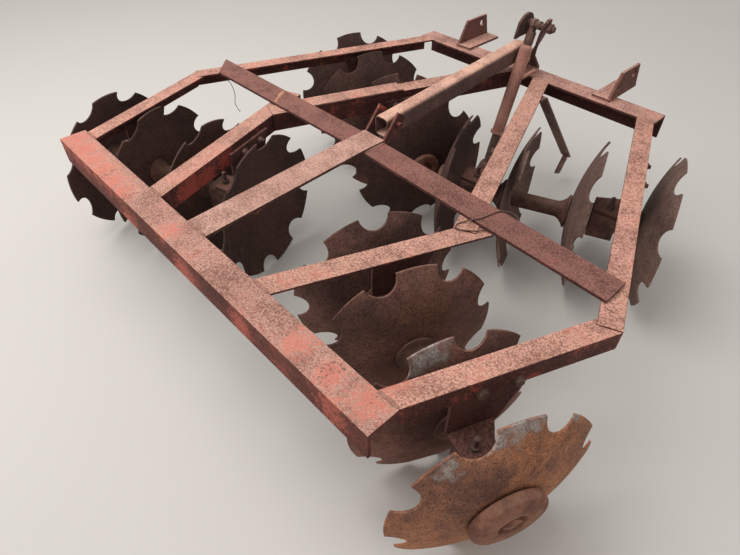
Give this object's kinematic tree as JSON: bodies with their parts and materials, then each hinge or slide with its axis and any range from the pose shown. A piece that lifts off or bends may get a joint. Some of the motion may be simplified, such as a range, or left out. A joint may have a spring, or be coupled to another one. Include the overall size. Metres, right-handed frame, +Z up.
{
  "type": "mounted disc harrow",
  "caption": "Small mounted tandem disc harrow: angle-iron frame, notched disc gangs in a toed X, mast, brace and hanging top link on a three-point hitch.",
  "frame": {"origin": "middle of the overall footprint, on the ground under the discs", "axes": "+Z up, +Y forward towards the tractor, +X to the machine's right"},
  "size_m": [1.8364, 1.599, 0.642],
  "materials": {
    "painted_iron": "faded",
    "worn_paint": "worn",
    "rusty_disc": "rusted",
    "rusty_iron": "rusted"
  },
  "bodies": {
    "frame": {"rear_beam": "painted_iron", "front_beam": "painted_iron", "outer_rail_left_rear": "painted_iron", "outer_rail_left_front": "painted_iron", "inner_rail_left_rear": "painted_iron", "inner_rail_left_front": "painted_iron", "outer_rail_right_rear": "painted_iron", "outer_rail_right_front": "painted_iron", "inner_rail_right_rear": "painted_iron", "inner_rail_right_front": "painted_iron", "crossbar": "painted_iron", "centre_strap": "painted_iron", "brace": "worn_paint", "brace_lugs": "worn_paint", "mast_plate_left": "worn_paint", "mast_plate_right": "worn_paint", "top_pin": "rusty_iron", "hitch_bracket_left": "worn_paint", "hitch_bracket_right": "worn_paint", "stand_strap": "painted_iron", "hanger_left_rear_inner": "worn_paint", "bearing_left_rear_inner": "rusty_iron", "hanger_left_rear_outer": "worn_paint", "bearing_left_rear_outer": "rusty_iron", "hanger_left_front_inner": "worn_paint", "bearing_left_front_inner": "rusty_iron", "hanger_left_front_outer": "worn_paint", "bearing_left_front_outer": "rusty_iron", "hanger_right_rear_inner": "worn_paint", "bearing_right_rear_inner": "rusty_iron", "hanger_right_rear_outer": "worn_paint", "bearing_right_rear_outer": "rusty_iron", "hanger_right_front_inner": "worn_paint", "bearing_right_front_inner": "rusty_iron", "hanger_right_front_outer": "worn_paint", "bearing_right_front_outer": "rusty_iron"},
    "gang_left_rear": {"gang_axle_left_rear": "rusty_iron", "blade_left_rear_1": "rusty_disc", "blade_left_rear_2": "rusty_disc", "blade_left_rear_3": "rusty_disc", "blade_left_rear_4": "rusty_disc"},
    "gang_left_front": {"gang_axle_left_front": "rusty_iron", "blade_left_front_1": "rusty_disc", "blade_left_front_2": "rusty_disc", "blade_left_front_3": "rusty_disc", "blade_left_front_4": "rusty_disc"},
    "gang_right_rear": {"gang_axle_right_rear": "rusty_iron", "blade_right_rear_1": "rusty_disc", "blade_right_rear_2": "rusty_disc", "blade_right_rear_3": "rusty_disc", "blade_right_rear_4": "rusty_disc"},
    "gang_right_front": {"gang_axle_right_front": "rusty_iron", "blade_right_front_1": "rusty_disc", "blade_right_front_2": "rusty_disc", "blade_right_front_3": "rusty_disc", "blade_right_front_4": "rusty_disc"},
    "top_link": {"top_link_upper_end": "rusty_iron", "top_link_tube": "worn_paint", "top_link_lower_end": "rusty_iron"}
  },
  "joints": [
    {"name": "gang_left_rear_turn", "type": "hinge", "parent": "frame", "child": "gang_left_rear", "pos_m": [-0.57397, -0.49124, 0.229], "axis": [-0.9455, -0.3256, 0], "continuous": true},
    {"name": "gang_left_front_turn", "type": "hinge", "parent": "frame", "child": "gang_left_front", "pos_m": [-0.33695, 0.26276, 0.229], "axis": [-0.9317, 0.3633, 0], "continuous": true},
    {"name": "gang_right_rear_turn", "type": "hinge", "parent": "frame", "child": "gang_right_rear", "pos_m": [0.57605, -0.49124, 0.229], "axis": [0.9272, -0.3746, 0], "continuous": true},
    {"name": "gang_right_front_turn", "type": "hinge", "parent": "frame", "child": "gang_right_front", "pos_m": [0.332, 0.26276, 0.229], "axis": [0.9225, 0.3859, 0], "continuous": true},
    {"name": "top_link_swing", "type": "hinge", "parent": "frame", "child": "top_link", "pos_m": [-0.00701, 0.61176, 0.61], "axis": [-1, 0, 0], "range_deg": [0, 8]}
  ]
}
